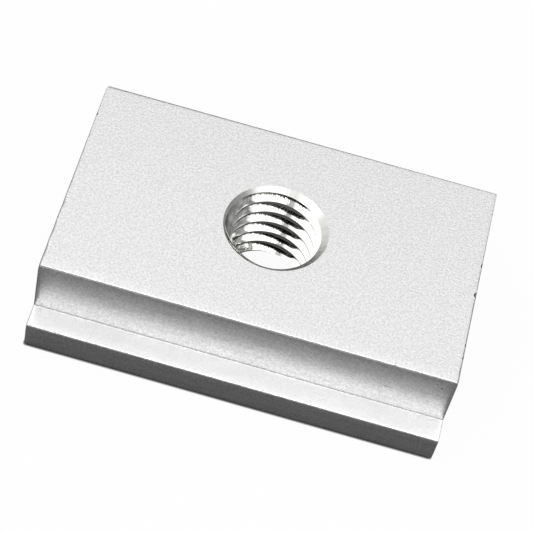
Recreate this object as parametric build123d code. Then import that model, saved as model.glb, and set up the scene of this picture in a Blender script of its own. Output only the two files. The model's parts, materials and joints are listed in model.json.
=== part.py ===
from build123d import *
import math
import os

# T-slot nut: a short length of T-section aluminium bar with one tapped hole through its middle.
# Millimetres. X runs along the slot, Y across it and Z up the axis of the thread.
# The origin is the centre of the bottom face.

# Section of the bar
nut_length = 32.0
neck_width = 19.0
neck_height = 5.0
flange_width = 23.0
flange_thickness = 2.5

# Softened edges
corner_radius = 0.2  # outer corners of the section, rounded by the extrusion die
root_radius = 0.1  # inner corners, where the neck stands on the flange
end_edge_break = 0.12  # chamfer round each sawn end

# Tapped hole, coarse metric thread
thread_diameter = 8.0
thread_pitch = 1.25
countersink_margin = 0.1  # how far the mouth reaches past the thread's major radius
countersink_angle = 90.0
exit_edge_break = 0.15  # chamfer at the bottom rim

overall_height = flange_thickness + neck_height
bore_radius = (thread_diameter - thread_pitch) / 2  # tapping size
mouth_radius = thread_diameter / 2 + countersink_margin
mouth_depth = (mouth_radius - bore_radius) / math.tan(math.radians(countersink_angle / 2))


def bar_section():
    """The T on its own plane, flange down, with six outer and two inner corners softened."""
    with BuildSketch() as section:
        with Locations((0, flange_thickness / 2)):
            Rectangle(flange_width, flange_thickness)
        with Locations((0, flange_thickness + neck_height / 2)):
            Rectangle(neck_width, neck_height)
        base, shoulder, crown = section.vertices().group_by(Axis.Y)
        roots, rims = shoulder.group_by(lambda corner: abs(corner.X))
        fillet(base + rims + crown, corner_radius)
        fillet(roots, root_radius)
    return section.sketch


def bar():
    """The sawn length of bar, with the sharp edge taken off both ends."""
    first_end = Plane.YZ.offset(-nut_length / 2)
    blank = extrude(first_end * bar_section(), nut_length)
    ends = blank.faces().sort_by(Axis.X)
    return chamfer(ends[0].edges() + ends[-1].edges(), end_edge_break)


def tapped_hole():
    """The space of the hole: a bore at tapping size, countersunk above and broken below."""
    with BuildPart() as hole:
        with BuildSketch(Plane.XZ):
            with BuildLine():
                Polyline(
                    (0, 0),
                    (bore_radius + exit_edge_break, 0),
                    (bore_radius, exit_edge_break),
                    (bore_radius, overall_height - mouth_depth),
                    (mouth_radius, overall_height),
                    (0, overall_height),
                    close=True,
                )
            make_face()
        revolve(axis=Axis.Z)
    return hole.part


os.makedirs("parts", exist_ok=True)
export_step(bar() - tapped_hole(), "parts/t_slot_nut.step")
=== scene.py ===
import json
import math
import bmesh
import bpy
import numpy as np
from mathutils import Matrix, Vector, noise


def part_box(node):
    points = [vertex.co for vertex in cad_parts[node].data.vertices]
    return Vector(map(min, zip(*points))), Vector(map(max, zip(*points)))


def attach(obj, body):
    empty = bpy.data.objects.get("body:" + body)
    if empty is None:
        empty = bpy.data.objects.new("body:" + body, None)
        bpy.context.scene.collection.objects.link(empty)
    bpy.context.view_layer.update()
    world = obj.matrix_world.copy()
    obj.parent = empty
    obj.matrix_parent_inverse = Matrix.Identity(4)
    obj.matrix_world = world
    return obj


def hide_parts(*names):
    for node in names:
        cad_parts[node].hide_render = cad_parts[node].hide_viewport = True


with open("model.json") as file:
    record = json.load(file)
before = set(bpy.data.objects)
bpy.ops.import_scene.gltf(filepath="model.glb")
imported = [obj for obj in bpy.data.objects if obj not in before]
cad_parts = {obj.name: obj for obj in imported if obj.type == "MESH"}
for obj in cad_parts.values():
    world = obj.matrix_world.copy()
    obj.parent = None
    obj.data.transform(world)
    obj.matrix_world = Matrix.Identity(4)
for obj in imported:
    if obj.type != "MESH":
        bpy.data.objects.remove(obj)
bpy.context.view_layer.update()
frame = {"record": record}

# A T-slot nut: a sawn length of blasted aluminium T bar with one tapped hole.
# Its surface is worked out in millimetres, in the frame's own axes, and turned into metres last.
MM = 0.001
NODE = "t_slot_nut"
Y, Z = 1, 2  # places of these axes in a point

# Sizes that the frame already holds
mounts = {mount["name"]: mount for mount in frame["record"]["mounts"]}
half_length, half_flange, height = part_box(NODE)[1] / MM
shoulder_y = abs(mounts["shoulder_front"]["pos_m"][Y]) / MM
flange_top = mounts["shoulder_front"]["pos_m"][Z] / MM
half_neck = 2 * shoulder_y - half_flange  # the mount is midway between neck and rim
bore_radius = mounts["thread"]["dims"]["r_mm"]

# Edges of the bar. In front, the faces roll off a little before each outer corner.
corner_radius = 0.2
back_left_radius = 0.34  # the back edge is worn more towards the left
back_right_radius = 0.16
foot_radius = 0.04
root_radius = 0.085
sharpest = 0.02
roll_depth = 0.04
roll_reach = 0.9
corner_steps = 8
outline_step = 0.15
length_step = 0.5

# Sawn ends, deburred by hand and so a little unevenly
left_edge = 0.13
right_edge = 0.07
edge_fall = 1.7  # how much deeper an edge is worn down than along
front_edge_gain = 2.2  # the top's end edges are worn wider towards the front
back_edge_gain = 0.6
end_edge_swing = 0.4
end_edge_waves = 1.1  # waves for each millimetre of edge
end_steps = 5
edge_room = 3  # the end edges have this many times the left edge's depth to themselves
top_gain_span = (0.6, 0.1)  # distances below the top face over which the top's gains set in

# Corners worn round
worn_neck_corner = 0.6
worn_right_foot = 0.4
worn_left_foot = 0.25
worn_least = 0.03  # what is left of the feet's wear at the back

# Small chips and scratches: the middle of each, and its half sizes along X, Y and Z
chips = [
    ((half_length, 1.9, height), (0.12, 0.26, 0.1)),
    ((half_length, 0.5, height), (0.08, 0.3, 0.06)),
    ((half_length, -1.1, height), (0.24, 0.34, 0.16)),
    ((half_length, -5.9, height), (0.12, 0.22, 0.1)),
    ((half_length, -7.1, height), (0.1, 0.3, 0.1)),
    ((half_length, -half_neck, height), (0.16, 0.14, 0.12)),
    ((-half_length, 6.2, height), (0.13, 0.2, 0.1)),
    ((-half_length, 3.2, height), (0.1, 0.24, 0.08)),
    ((11.2, -half_neck, height - 0.06), (0.25, 0.09, 0.1)),
    ((15.0, -half_neck, height - 1.2), (0.12, 0.04, 0.08)),
    ((14.6, -half_neck, height - 0.9), (0.08, 0.04, 0.06)),
    ((11.2, -half_neck, 4.73), (0.4, 0.03, 0.03)),
    ((-15.4, -half_neck, 2.84), (0.06, 0.04, 0.06)),
    ((-15.85, -half_flange, flange_top), (0.2, 0.12, 0.12)),
    ((-14.9, -half_flange, flange_top), (0.14, 0.1, 0.08)),
    ((12.1, -half_flange, flange_top), (0.16, 0.08, 0.08)),
    ((-0.7, -half_neck - 0.02, height), (0.07, 0.1, 0.06)),
]
chip_swing = 0.5
chip_waves = 2  # waves of its roughness for each half size
CHIP_MARK = "chip_mark"  # the material that a chip leaves on the faces that it cuts

# Thread
thread_radius = 4.0
thread_pitch = 1.25
thread_depth = thread_radius - bore_radius
flank_rise = thread_depth * math.tan(math.radians(30))
root_flat = thread_pitch / 8
crest_flat = thread_pitch - root_flat - 2 * flank_rise
crest_height = 0.92  # of a crest's middle, where the thread crosses the +X side
turn_steps = 576
turns_below = 2  # whole turns of the tap below that crest
turns_above = 1  # and spare ones past the top face

# Marks of the tap, which differ round the hole. Each row is for an angle in degrees from the +X side.
# Its millimetres are the wear of the crests' lower lip, then the depth and rise of the knee in the
# flank below the groove, and then the rise of that flank where it meets the root.
tap_marks = np.array([
    (58, 0.27, 0.22, 0.08, 0.42),
    (66, 0.00, 0.22, 0.118, 0.335),
    (84, 0.00, 0.22, 0.118, 0.335),
    (120, 0.17, 0.22, 0.172, 0.488),
    (145, 0.17, 0.22, 0.08, 0.42),
])
chatter_bites = 84  # bites in one turn, where the tap chattered
chatter_span = (84, 106)  # in degrees
chatter_swing = 4  # degrees by which a bite shifts the marks

# Mouth and bottom rim of the hole
mouth_radius = 4.1
mouth_angle = 90
exit_angle = 90
exit_radius = bore_radius + 0.15
rim_steps = 240
tip_share = 0.9  # how much of a cone's tip is kept as the cutter
overshoot = 0.5  # how far a cutter reaches past the face that it opens

# Clean mesh
merge_distance = 0.002
gap_sides = 4  # most sides of a gap that a dropped flap leaves
crease_angle = 35

# How faces are told apart for their finish. A facing is the share of a normal that lies along an axis.
flat_facing = 0.98
rim_facing = 0.99  # of the top face, right up to the mouth
facing_margin = 0.02
cone_margin = 0.001
ledge_margin = 0.01

# Blasted metal
noise_span = (0.3, 0.7)  # where nearly all of a noise's values lie
grain_size = 0.16
grain_relief = 0.018
grain_tone = 0.12
body_tone = 0.85
# darker than body_tone: painted shade on the upright sides, which are the same metal as the top face
shaded_side_tone = 0.79
side_grain = 0.13
# the faces that chips cut are much darker than the rest of the metal
chipped_tone = 0.2
chipped_grain = 0.1
face_roughness = 0.43
side_roughness = 0.41
ledge_roughness = 0.3
edge_roughness = 0.22
drawn_size = 0.5  # faint lines that the die drew along the bar's sides
drawn_stretch = 0.12
drawn_tone = 0.07
# brighter than body_tone: painted light on the ledge, which is the same metal as the top face
lit_ledge_tone = 1.0
ledge_grain = 0.05
ledge_drawn_tone = 0.021

# Shade and dark reflections painted deep into the grooves round the +Y side. Angles are in degrees.
groove_shade_middle = 78  # where it comes nearest to the crests, and its depth there
groove_shade_depth = 0.2
groove_shade_left = 0.0065  # how much deeper it starts for each degree away from there
groove_shade_right = 0.02
groove_shade_deepest = 0.45
groove_shade_top = 5.8  # the groove above this height has less painted shade
groove_shade_top_depth = 0.42
groove_shade_teeth = 0.4
teeth_size = 0.12
groove_shade_edge = (-0.02, 0.03)
groove_shade_sets_in = (52, 60)
groove_shade_dies_out = (126, 150)
groove_shade_tone = 0.12
smear_size = 0.45  # thin darker smears on the -X side
smear_stretch = (1.0, 0.6, 2.0)
smear_span = (0.4, 0.62)
smear_side = (-2.6, -1.8)
smear_tone = 0.6

# Cut metal in the hole: rings that the tap left, and streaks down the countersink
cut_tone = 0.95
cut_blue = 0.97  # its blue beside its red and green
tapped_roughness = 0.07
drilled_roughness = 0.34
ring_size = 0.1
ring_stretch = (0.15, 0.15, 1.0)
ring_tone = 0.06
ring_relief = 0.004
streak_size = 0.25
streak_dark = 0.08
streak_light = 0.1
streak_relief = 0.01

# Studio light: strengths, with 1 as white. Places on the panel overhead are in heights of the panel.
panel_light = 1.36
panel_back_gain = 0.14  # it grows brighter away from its middle
panel_front_gain = 0.62
panel_front = -1.45
panel_back = 1.25
panel_right = 0.78
panel_slant = 0.9
panel_soft = 0.08
panel_left_fade = (-3.6, -1.3)
panel_left_share = 0.45
lowest_rise = 0.05  # keeps the panel finite at the horizon
stand_place = 0.09  # a grey camera stand in front, which leans
stand_slant = 0.47
stand_width = 0.1
stand_end = (-0.3, -0.1)
stand_head = 3.0  # how much wider the camera on it is
stand_head_span = (-1.1, -0.8)
stand_shade = 0.65
room_light = 0.16
left_light = 0.6
left_span = (-0.8, -0.3)
right_light = 0.3
right_span = (0.3, 0.6)
right_fade = 5  # in times of panel_right

# Floor
floor_reach = 1500
floor_white = 0.95
paper_tone = 0.9
contact_light = 0.06  # painted contact shade: how bright the floor looks to surfaces just above it
contact_near = 2.0
contact_far = 73.0
contact_gap = 0.19  # reach of the painted contact shadow, a dark line under the nut's edge
contact_power = 4.0

# Lamp, in watts and millimetres
key_power = 0.15
key_size = 50
key_place = Vector((-50, -330, 830))


# ---------------------------------------------------------------- meshes
def mesh_object(name, points, faces):
    """A mesh from points in millimetres, with its faces turned outwards."""
    mesh = bpy.data.meshes.new(name)
    mesh.from_pydata((np.asarray(points) * MM).tolist(), [], faces)
    shape = bmesh.new()
    shape.from_mesh(mesh)
    bmesh.ops.recalc_face_normals(shape, faces=shape.faces)
    shape.to_mesh(mesh)
    shape.free()
    piece = bpy.data.objects.new(name, mesh)
    bpy.context.scene.collection.objects.link(piece)
    return piece


def apply_modifier(piece, kind, **settings):
    modifier = piece.modifiers.new(kind.lower(), kind)
    for name, value in settings.items():
        setattr(modifier, name, value)
    bpy.context.view_layer.objects.active = piece
    bpy.ops.object.modifier_apply(modifier=modifier.name)


def subtract(piece, cutter):
    settings = {"operation": "DIFFERENCE", "solver": "MANIFOLD", "material_mode": "TRANSFER"}
    apply_modifier(piece, "BOOLEAN", object=cutter, **settings)
    bpy.data.objects.remove(cutter)


def stitch(row_count, row_length):
    """Quads between neighbouring closed rows of points."""
    faces = []
    for row in range(row_count - 1):
        for column in range(row_length):
            beside = (column + 1) % row_length
            low = row * row_length
            high = low + row_length
            faces.append((low + column, low + beside, high + beside, high + column))
    return faces


def tube(name, rows):
    """A closed mesh through closed rows of points, flat at both ends."""
    row_length = len(rows[0])
    faces = stitch(len(rows), row_length)
    last_row = (len(rows) - 1) * row_length
    faces.append(range(row_length))
    faces.append(range(last_row, last_row + row_length))
    return mesh_object(name, np.concatenate(rows), faces)


# ---------------------------------------------------------------- the bar
def section_corners(x):
    """Corners of the T, counter-clockwise in the YZ plane, each with its radius at a place along the bar."""
    back_radius = float(np.interp(x, (-half_length, half_length), (back_left_radius, back_right_radius)))
    back = [
        ((half_flange, 0), foot_radius),
        ((half_flange, flange_top), corner_radius),
        ((half_neck, flange_top), root_radius),
        ((half_neck, height), back_radius),
    ]
    front = [((-y, z), min(radius, corner_radius)) for (y, z), radius in reversed(back)]
    return back + front


def roll(distance):
    """How far a face has rolled off at a distance from an outer corner."""
    return roll_depth * max(0.0, 1 - distance / roll_reach) ** 2


def section_outline(x, drawn_in=0.0):
    """Points round the T at a place along the bar, all drawn in from its faces by a distance."""
    corners = section_corners(x)
    places = [np.array(place, float) for place, radius in corners]
    sides = [after - place for place, after in zip(places, places[1:] + places[:1])]
    lengths = [np.linalg.norm(side) for side in sides]
    ways = [side / length for side, length in zip(sides, lengths)]
    inwards = [np.array((-way[1], way[0])) for way in ways]
    bends = [np.sign(inwards[index - 1] @ way) for index, way in enumerate(ways)]
    rolls = [float(bend > 0 and place[0] < 0) for bend, place in zip(bends, places)]
    radii = [max(radius - bend * drawn_in, sharpest) for (place, radius), bend in zip(corners, bends)]
    reaches = [bend * drawn_in + radius for bend, radius in zip(bends, radii)]
    points = []
    for index, place in enumerate(places):
        following = (index + 1) % len(places)
        inward, bend, radius = inwards[index - 1], bends[index], radii[index]
        next_inward = inwards[index]
        diagonal = inward + next_inward
        rolled = rolls[index] * roll(corners[index][1])
        centre = place + (drawn_in + bend * radius + rolled) * diagonal
        for turn in np.linspace(0, math.pi / 2, corner_steps + 1):
            points.append(centre - bend * radius * (math.cos(turn) * inward + math.sin(turn) * next_inward))
        straight = lengths[index] - reaches[index] - reaches[following]
        pieces = round(lengths[index] / outline_step)
        for step in range(1, pieces):
            along = reaches[index] + straight * step / pieces
            drop = rolls[index] * roll(along) + rolls[following] * roll(lengths[index] - along)
            points.append(place + ways[index] * along + next_inward * (drawn_in + drop))
    return np.array(points)


def end_rows(side):
    """The outline drawn in and rounded over at one sawn end, from the face inwards."""
    deepest = edge_room * edge_fall * left_edge
    outline = section_outline(side * half_length)
    inner_outline = section_outline(side * half_length, deepest)
    end = Vector((side * half_length, 0, 0))
    swing = [noise.noise(end + Vector((0, y, z)) * end_edge_waves) for y, z in outline]
    edge = (left_edge if side < 0 else right_edge) * (1 + end_edge_swing * np.array(swing))
    top_gain = np.interp(outline[:, 0], (-half_neck, half_neck), (front_edge_gain, back_edge_gain))
    topness = np.interp(outline[:, 1], height - np.array(top_gain_span), (0, 1))
    edge *= back_edge_gain + (top_gain - back_edge_gain) * topness
    rows = []
    for turn in np.linspace(0, math.pi / 2, end_steps + 1):
        x = side * (half_length - edge * (1 - math.sin(turn)))
        share = edge_fall * edge * (1 - math.cos(turn)) / deepest
        rows.append(np.column_stack((x, outline + (inner_outline - outline) * share[:, None])))
    return rows


def make_bar():
    """The bar as one closed mesh, from its left end to its right."""
    reach = half_length - edge_room * left_edge
    rows = []
    for x in np.linspace(-reach, reach, round(2 * reach / length_step) + 1):
        outline = section_outline(x)
        rows.append(np.column_stack((np.full(len(outline), x), outline)))
    return tube("nut_body", end_rows(-1)[::-1] + rows + end_rows(1))


# ---------------------------------------------------------------- worn corners
def round_edge(piece, axis, place, inside, *levels):
    """Rounds an edge that runs along an axis, with a radius at each level on it.

    Its place, and the way inside from it, are in the plane across the edge.
    """
    place = np.array(place, float)
    inside = np.array(inside, float)
    outside = place - inside * overshoot
    rows = []
    for level, radius in levels:
        centre = place + inside * radius
        profile = []
        for turn in np.linspace(0, math.pi / 2, corner_steps + 1):
            profile.append(centre - radius * inside * (math.cos(turn), math.sin(turn)))
        profile += [(centre[0], outside[1]), outside, (outside[0], centre[1])]
        rows.append(np.insert(np.array(profile), axis, level, axis=1))
    subtract(piece, tube("corner_cutter", rows))


def wear_corners(piece):
    """The neck's back left corner, and the bottom of both ends, worn more towards the front."""
    past_front = -half_flange - overshoot
    past_back = half_flange + overshoot
    top_levels = ((flange_top, worn_neck_corner), (height + overshoot, worn_neck_corner))
    round_edge(piece, Z, (-half_length, half_neck), (1, -1), *top_levels)
    round_edge(piece, Y, (half_length, 0), (-1, 1), (past_front, worn_right_foot), (past_back, worn_least))
    round_edge(piece, Y, (-half_length, 0), (1, 1), (past_front, worn_left_foot), (past_back, worn_least))


def chip(piece, place, half_sizes):
    """Takes a small rough lump out of a surface."""
    shape = bmesh.new()
    bmesh.ops.create_icosphere(shape, subdivisions=2, radius=1.0)
    for point in shape.verts:
        point.co *= 1 + chip_swing * noise.noise(chip_waves * point.co + Vector(place))
        point.co = Vector(place) + point.co * Vector(half_sizes)
        point.co *= MM
    mesh = bpy.data.meshes.new("chip")
    shape.to_mesh(mesh)
    shape.free()
    mesh.materials.append(bpy.data.materials.get(CHIP_MARK) or bpy.data.materials.new(CHIP_MARK))
    cutter = bpy.data.objects.new("chip", mesh)
    bpy.context.scene.collection.objects.link(cutter)
    subtract(piece, cutter)


# ---------------------------------------------------------------- the tapped hole
def pitch_profile(angle):
    """(radius, rise) points of the hole's wall over one pitch, upwards from a crest's lower lip."""
    if chatter_span[0] < angle < chatter_span[1]:
        angle += chatter_swing * abs(math.sin(math.radians(chatter_bites * angle / 2)))
    marks = [np.interp(angle, tap_marks[:, 0], column) for column in tap_marks[:, 1:].T]
    wear, knee_depth, knee_rise, root_rise = marks
    lower_lip = -crest_flat / 2
    upper_lip = crest_flat / 2
    return [
        (bore_radius, lower_lip + wear),
        (bore_radius, (lower_lip + wear + upper_lip) / 2),
        (bore_radius, upper_lip),
        (bore_radius + knee_depth, upper_lip + knee_rise),
        (thread_radius, upper_lip + root_rise),
        (thread_radius, upper_lip + flank_rise + root_flat),
        (bore_radius + thread_depth / 2, lower_lip + thread_pitch - flank_rise / 2),
    ]


def make_tap():
    """The column that the tap clears, as a closed helical mesh that runs past both faces."""
    turns = math.ceil(height / thread_pitch) + turns_below + turns_above
    start = crest_height - turns_below * thread_pitch
    per_turn = len(pitch_profile(0))
    column_length = turns * per_turn
    points = []
    for step in range(turn_steps):
        angle = 2 * math.pi * step / turn_steps
        base = start + thread_pitch * step / turn_steps
        profile = pitch_profile(math.degrees(angle))
        for turn in range(turns):
            for radius, rise in profile:
                level = base + turn * thread_pitch + rise
                points.append((radius * math.cos(angle), radius * math.sin(angle), level))
    faces = []
    for step in range(turn_steps):  # the last column meets the first one a pitch further up
        here = step * column_length
        closing = step == turn_steps - 1
        beside = per_turn if closing else here + column_length
        rows = column_length - 1 - (per_turn if closing else 0)
        for row in range(here, here + rows):
            shifted = row - here + beside
            faces.append((row, shifted, shifted + 1, row + 1))
    last_column = (turn_steps - 1) * column_length
    bottoms = list(range(0, last_column + 1, column_length))
    tops = [bottom + column_length - 1 for bottom in bottoms]
    seam_down = list(range(tops[-1] - 1, tops[-1] - per_turn - 1, -1))
    seam_up = list(range(per_turn, 0, -1))
    for loop, level in ((bottoms + seam_up, start), (tops + seam_down, start + turns * thread_pitch)):
        hub = len(points)
        points.append((0, 0, level))
        for index, point in enumerate(loop):
            faces.append((hub, point, loop[(index + 1) % len(loop)]))
    return mesh_object("tap", points, faces)


def make_cone(radius, level, upwards, included_angle):
    """A cone that has a given radius at one level and widens up or down from there."""
    spread_rate = math.tan(math.radians(included_angle / 2))
    rows = []
    for offset in (-tip_share * radius / spread_rate, overshoot):
        reach = radius + offset * spread_rate
        ring = [(reach * math.cos(turn), reach * math.sin(turn), level + upwards * offset)
                for turn in np.linspace(0, 2 * math.pi, rim_steps, endpoint=False)]
        rows.append(np.array(ring))
    return tube("cone", rows)


def tap_hole(piece):
    """Cuts the thread, then the countersink, then the bottom rim's chamfer."""
    subtract(piece, make_tap())
    subtract(piece, make_cone(mouth_radius, height, 1, mouth_angle))
    subtract(piece, make_cone(exit_radius, 0, -1, exit_angle))


# ---------------------------------------------------------------- the surface
def clean(piece):
    """Merges the points that the cuts left almost on each other, and drops empty faces and flaps."""
    shape = bmesh.new()
    shape.from_mesh(piece.data)
    bmesh.ops.remove_doubles(shape, verts=shape.verts, dist=merge_distance * MM)
    bmesh.ops.dissolve_degenerate(shape, edges=shape.edges, dist=merge_distance * MM)
    bmesh.ops.triangulate(shape, faces=shape.faces, ngon_method="BEAUTY")
    bmesh.ops.dissolve_degenerate(shape, edges=shape.edges, dist=merge_distance * MM)
    flaps = [point for point in shape.verts if len(point.link_faces) < 3]
    bmesh.ops.delete(shape, geom=flaps, context="VERTS")
    gaps = [edge for edge in shape.edges if edge.is_boundary]
    bmesh.ops.holes_fill(shape, edges=gaps, sides=gap_sides)
    shape.to_mesh(piece.data)
    shape.free()


def smooth(piece):
    """Shades the piece smooth, apart from its creases."""
    mesh = piece.data
    mesh.polygons.foreach_set("use_smooth", [True] * len(mesh.polygons))
    mesh.set_sharp_from_angle(angle=math.radians(crease_angle))
    apply_modifier(piece, "WEIGHTED_NORMAL", keep_sharp=True)


def give_finishes(piece):
    """Blasted metal all over, worn smooth on its edges, and cut metal on the hole's own faces."""
    finishes = {
        "face": blasted_metal("blasted_aluminium", face_roughness, body_tone, grain_tone, 0.0),
        # painted light: the ledge gets a brighter tone than the top face
        "ledge": blasted_metal("blasted_lit_ledge", ledge_roughness, lit_ledge_tone, ledge_grain, ledge_drawn_tone),
        # painted shade: the upright sides get a darker tone than the top face
        "side": blasted_metal("blasted_shaded_side", side_roughness, shaded_side_tone, side_grain, drawn_tone),
        "worn": blasted_metal("worn_edge", edge_roughness, body_tone, grain_tone, 0.0),
        "chipped": blasted_metal("chipped_aluminium", face_roughness, chipped_tone, chipped_grain, 0.0),
        "tapped": tapped_metal(),
        "drilled": drilled_metal(),
    }
    marks = [material and material.name for material in piece.data.materials]
    kinds = []
    for face in piece.data.polygons:
        is_chip = marks[face.material_index] == CHIP_MARK
        kinds.append("chipped" if is_chip else finish_of(face))
    piece.data.materials.clear()
    for finish in finishes.values():
        piece.data.materials.append(finish)
    names = list(finishes)
    for face, kind in zip(piece.data.polygons, kinds):
        face.material_index = names.index(kind)


def finish_of(face):
    """The name of a face's finish, from where it lies and how it is turned."""
    level = face.center.z / MM
    upward = abs(face.normal.z)
    if face.center.xy.length < mouth_radius * MM and upward < rim_facing:
        half_angle = math.radians(mouth_angle / 2)
        cone_foot = height - (mouth_radius - bore_radius) / math.tan(half_angle) - cone_margin
        is_cone = level > cone_foot and abs(upward - math.sin(half_angle)) < facing_margin
        return "drilled" if is_cone else "tapped"
    if max(abs(part) for part in face.normal) < flat_facing:
        return "worn"
    if upward < flat_facing:
        return "side"
    return "ledge" if abs(level - flange_top) < roll_depth + ledge_margin else "face"


# ---------------------------------------------------------------- node trees
def add(tree, kind, inputs=None, **settings):
    """A shader node with its settings made and its inputs set or linked."""
    node = tree.nodes.new("ShaderNode" + kind)
    for name, value in settings.items():
        setattr(node, name, value)
    for name, value in (inputs or {}).items():
        if isinstance(value, bpy.types.NodeSocket):
            tree.links.new(value, node.inputs[name])
        else:
            node.inputs[name].default_value = value
    return node


def maths(tree, operation, *values):
    return add(tree, "Math", dict(enumerate(values)), operation=operation).outputs[0]


def spread(tree, value, low, high, to_low, to_high, kind="SMOOTHSTEP"):
    inputs = {"Value": value, "From Min": low, "From Max": high, "To Min": to_low, "To Max": to_high}
    return add(tree, "MapRange", inputs, interpolation_type=kind).outputs[0]


def stretched(tree, place, factors):
    """A place with each of its coordinates multiplied by a factor of its own."""
    return add(tree, "VectorMath", {0: place, 1: factors}, operation="MULTIPLY").outputs[0]


def flattened(tree, place):
    """A place dropped to the level of the floor."""
    return stretched(tree, place, (1.0, 1.0, 0.0))


def length_of(tree, vector):
    return add(tree, "VectorMath", {0: vector}, operation="LENGTH").outputs["Value"]


def noise_value(tree, place, size, detail=2.0):
    """Noise with features of a given size in millimetres."""
    inputs = {"Vector": place, "Scale": 1 / (size * MM), "Detail": detail}
    return add(tree, "TexNoise", inputs).outputs[0]


def new_material(name):
    material = bpy.data.materials.new(name)
    material.use_nodes = True
    material.node_tree.nodes.clear()
    return material, material.node_tree


def put_out(tree, shader):
    add(tree, "OutputMaterial", {"Surface": shader.outputs[0]})


def put_out_metal(tree, tone, blue_tone, roughness, marks, relief_depth):
    """Bare metal of a nearly grey tone, whose marks stand out by a depth in millimetres."""
    relief = add(tree, "Bump", {"Height": marks, "Distance": relief_depth * MM, "Strength": 1.0})
    shader = add(tree, "BsdfPrincipled", {
        "Base Color": add(tree, "CombineColor", {0: tone, 1: tone, 2: blue_tone}).outputs[0],
        "Metallic": 1.0,
        "Roughness": roughness,
        "Normal": relief.outputs[0],
    })
    put_out(tree, shader)


# ---------------------------------------------------------------- finishes
def blasted_metal(name, roughness, middle_tone, grain_swing, drawn_swing):
    """Fine matte blasted metal: a grain of tiny craters over faint lines drawn along the bar."""
    material, tree = new_material(name)
    place = add(tree, "TexCoord").outputs["Object"]
    grain = noise_value(tree, place, grain_size)
    tone = spread(tree, grain, *noise_span, middle_tone - grain_swing, middle_tone + grain_swing, "LINEAR")
    lines = noise_value(tree, stretched(tree, place, (drawn_stretch, 1.0, 1.0)), drawn_size, detail=4.0)
    shade = spread(tree, lines, *noise_span, 1 - drawn_swing, 1 + drawn_swing, "LINEAR")
    tone = maths(tree, "MULTIPLY", tone, shade)
    put_out_metal(tree, tone, tone, roughness, grain, grain_relief)
    return material


def painted_groove_shade(tree, place):
    """Where shade is painted deep in the thread's grooves: 1 in it, 0 on bare metal."""
    axes = add(tree, "SeparateXYZ", {0: place}).outputs
    angle = maths(tree, "DEGREES", maths(tree, "ARCTAN2", axes["Y"], axes["X"]))
    away = maths(tree, "SUBTRACT", angle, groove_shade_middle)
    left = maths(tree, "MULTIPLY_ADD", away, groove_shade_left, groove_shade_depth)
    right = maths(tree, "MULTIPLY_ADD", away, -groove_shade_right, groove_shade_depth)
    line = maths(tree, "MAXIMUM", left, right)
    line = maths(tree, "MINIMUM", line, groove_shade_deepest)
    in_top = maths(tree, "GREATER_THAN", axes["Z"], groove_shade_top * MM)
    line = maths(tree, "MAXIMUM", line, maths(tree, "MULTIPLY", in_top, groove_shade_top_depth))
    flat = flattened(tree, place)
    depth = maths(tree, "MULTIPLY_ADD", length_of(tree, flat), 1 / MM, -bore_radius)
    teeth = maths(tree, "SUBTRACT", noise_value(tree, flat, teeth_size), 0.5)
    depth = maths(tree, "MULTIPLY_ADD", teeth, groove_shade_teeth, depth)
    past = maths(tree, "SUBTRACT", depth, line)
    deep = spread(tree, past, *groove_shade_edge, 0.0, 1.0)
    set_in = spread(tree, angle, *groove_shade_sets_in, 0.0, 1.0)
    not_out = spread(tree, angle, *groove_shade_dies_out, 1.0, 0.0)
    return maths(tree, "MULTIPLY", deep, maths(tree, "MULTIPLY", set_in, not_out))


def smears(tree, place):
    """The tone of thin darker smears on the -X side: 1 outside them."""
    patches = noise_value(tree, stretched(tree, place, smear_stretch), smear_size, detail=4.0)
    tone = spread(tree, patches, *smear_span, 1.0, smear_tone)
    across = add(tree, "SeparateXYZ", {0: place}).outputs["X"]
    first, last = (edge * MM for edge in smear_side)
    on_left = spread(tree, across, first, last, 1.0, 0.0)
    return maths(tree, "MULTIPLY_ADD", maths(tree, "SUBTRACT", tone, 1.0), on_left, 1.0)


def tapped_metal():
    """Mirror-bright thread with fine rings round the hole and painted shade deep in its grooves."""
    material, tree = new_material("tapped_aluminium")
    place = add(tree, "TexCoord").outputs["Object"]
    rings = noise_value(tree, stretched(tree, place, ring_stretch), ring_size)
    tone = spread(tree, rings, *noise_span, cut_tone - ring_tone, cut_tone + ring_tone, "LINEAR")
    # painted shade: the groove shade darkens the thread's tone
    darkened = maths(tree, "MULTIPLY_ADD", painted_groove_shade(tree, place), groove_shade_tone - 1, 1.0)
    tone = maths(tree, "MULTIPLY", tone, darkened)
    tone = maths(tree, "MULTIPLY", tone, smears(tree, place))
    blue_tone = maths(tree, "MULTIPLY", tone, cut_blue)
    put_out_metal(tree, tone, blue_tone, tapped_roughness, rings, ring_relief)
    return material


def drilled_metal():
    """The countersink's satin face, with faint streaks that run down its slope."""
    material, tree = new_material("drilled_aluminium")
    place = add(tree, "TexCoord").outputs["Object"]
    outwards = add(tree, "VectorMath", {0: flattened(tree, place)}, operation="NORMALIZE").outputs[0]
    on_rim = add(tree, "VectorMath", {0: outwards, "Scale": mouth_radius * MM}, operation="SCALE").outputs[0]
    streaks = noise_value(tree, on_rim, streak_size)
    tone = spread(tree, streaks, *noise_span, cut_tone - streak_dark, cut_tone + streak_light, "LINEAR")
    blue_tone = maths(tree, "MULTIPLY", tone, cut_blue)
    put_out_metal(tree, tone, blue_tone, drilled_roughness, streaks, streak_relief)
    return material


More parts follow.
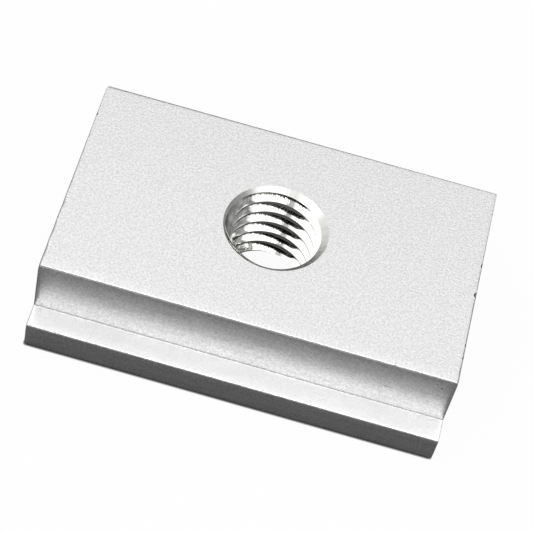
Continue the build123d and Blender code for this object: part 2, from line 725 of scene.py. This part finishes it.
def white_floor():
    """A pale floor that keeps a faint shadow, with painted contact shade: dim to whatever lies close above
    it, and a painted dark line under the nut's edge.
    """
    material, tree = new_material("white_floor")
    path = add(tree, "LightPath").outputs
    seen = maths(tree, "MAXIMUM", path["Is Camera Ray"], path["Is Glossy Ray"])
    seen = maths(tree, "MAXIMUM", seen, path["Is Transmission Ray"])
    # painted contact shade, by how far a ray has come to the floor
    contact = spread(tree, path["Ray Length"], contact_near * MM, contact_far * MM, contact_light, 1.0)
    # painted contact shadow from ambient occlusion, left off under the hole
    open_sky = add(tree, "AmbientOcclusion", {"Distance": contact_gap * MM}).outputs["AO"]
    open_sky = maths(tree, "POWER", open_sky, contact_power)
    from_axis = length_of(tree, add(tree, "TexCoord").outputs["Object"])
    under_hole = maths(tree, "LESS_THAN", from_axis, exit_radius * MM)
    open_sky = maths(tree, "MAXIMUM", open_sky, under_hole)
    white = add(tree, "Emission", {"Strength": maths(tree, "MULTIPLY", contact, open_sky)})
    paper = add(tree, "BsdfDiffuse", {"Color": (paper_tone, paper_tone, paper_tone, 1)})
    share = maths(tree, "MULTIPLY", seen, floor_white)
    put_out(tree, add(tree, "MixShader", {0: share, 1: paper.outputs[0], 2: white.outputs[0]}))
    material.cycles.emission_sampling = "NONE"
    return material


# ---------------------------------------------------------------- studio
def add_floor():
    turns = ((-1, -1), (1, -1), (1, 1), (-1, 1))
    corners = [(floor_reach * x, floor_reach * y, 0) for x, y in turns]
    floor = mesh_object("floor", corners, [(0, 1, 2, 3)])
    floor.data.materials.append(white_floor())


def add_world():
    """A wide soft panel overhead that runs down to a white wall on the left, in a dim room."""
    world = bpy.data.worlds.new("studio")
    world.use_nodes = True
    tree = world.node_tree
    tree.nodes.clear()
    direction = add(tree, "TexCoord").outputs["Generated"]
    axes = add(tree, "SeparateXYZ", {0: direction}).outputs
    rise = maths(tree, "MAXIMUM", axes["Z"], lowest_rise)
    across = maths(tree, "DIVIDE", axes["X"], rise)
    along = maths(tree, "DIVIDE", axes["Y"], rise)
    slanted = maths(tree, "MULTIPLY_ADD", maths(tree, "MINIMUM", along, 0.0), panel_slant, across)
    stand = maths(tree, "MULTIPLY_ADD", along, -stand_slant, across)
    stand = maths(tree, "ABSOLUTE", maths(tree, "SUBTRACT", stand, stand_place))
    stand = maths(tree, "DIVIDE", stand, spread(tree, along, *stand_head_span, stand_head, 1.0))
    sides = (
        (slanted, panel_right, 1.0, 0.0),
        (along, panel_front, 0.0, 1.0),
        (along, panel_back, 1.0, 0.0),
    )
    gain = maths(tree, "MAXIMUM", maths(tree, "MULTIPLY", along, panel_back_gain), 0.0)
    gain = maths(tree, "MAXIMUM", maths(tree, "MULTIPLY", along, -panel_front_gain), gain)
    panel = maths(tree, "MULTIPLY_ADD", gain, panel_light, panel_light)
    for place, edge, before, after in sides:
        side = spread(tree, place, edge - panel_soft, edge + panel_soft, before, after)
        panel = maths(tree, "MULTIPLY", panel, side)
    left_fade = spread(tree, across, *panel_left_fade, panel_left_share, 1.0)
    panel = maths(tree, "MULTIPLY", panel, left_fade)
    shade = spread(tree, stand, 0.5 * stand_width, 1.5 * stand_width, stand_shade, 0.0)
    shade = maths(tree, "MULTIPLY", shade, spread(tree, along, *stand_end, 1.0, 0.0))
    panel = maths(tree, "MULTIPLY", panel, maths(tree, "SUBTRACT", 1.0, shade))
    left = spread(tree, axes["X"], *left_span, left_light, 0.0)
    right = spread(tree, across, panel_right, right_fade * panel_right, right_light, 0.0)
    right = maths(tree, "MULTIPLY", right, spread(tree, axes["X"], *right_span, 0.0, 1.0))
    room = maths(tree, "ADD", maths(tree, "ADD", left, right), room_light)
    strength = maths(tree, "MAXIMUM", panel, room)
    light = add(tree, "Background", {"Strength": strength})
    add(tree, "OutputWorld", {"Surface": light.outputs[0]})
    bpy.context.scene.world = world


def add_camera():
    """The nut seen from in front and above, turned a little clockwise."""
    azimuth = math.radians(-0.928)
    elevation = math.radians(51.813)
    turn = math.radians(15.034)
    distance = 153.56
    aim = Vector((0.05, -0.57, 3.3))
    lens = 133.55
    nearest = 10
    camera = bpy.data.objects.new("camera", bpy.data.cameras.new("camera"))
    camera.data.lens = lens
    camera.data.clip_start = nearest * MM
    facing = Matrix.Rotation(-azimuth, 4, "Z") @ Matrix.Rotation(math.pi / 2 - elevation, 4, "X")
    away = facing @ Vector((0, 0, distance))
    camera.matrix_world = Matrix.Translation((aim + away) * MM) @ facing @ Matrix.Rotation(turn, 4, "Z")
    bpy.context.scene.collection.objects.link(camera)
    bpy.context.scene.camera = camera


def add_key_light():
    """A soft lamp high in front, which draws the edges and gives the floor a faint shadow."""
    lamp = bpy.data.objects.new("key", bpy.data.lights.new("key", "AREA"))
    lamp.data.size = key_size * MM
    lamp.data.energy = key_power
    lamp.location = key_place * MM
    lamp.rotation_euler = (-lamp.location).to_track_quat("-Z", "Y").to_euler()
    bpy.context.scene.collection.objects.link(lamp)


# ---------------------------------------------------------------- making it
def make_nut():
    nut = make_bar()
    wear_corners(nut)
    for place, half_sizes in chips:
        chip(nut, place, half_sizes)
    tap_hole(nut)
    clean(nut)
    smooth(nut)
    give_finishes(nut)
    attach(nut, "root")
    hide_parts(NODE)


make_nut()
add_floor()
add_world()
add_key_light()
add_camera()
bpy.context.scene.view_settings.view_transform = "Standard"
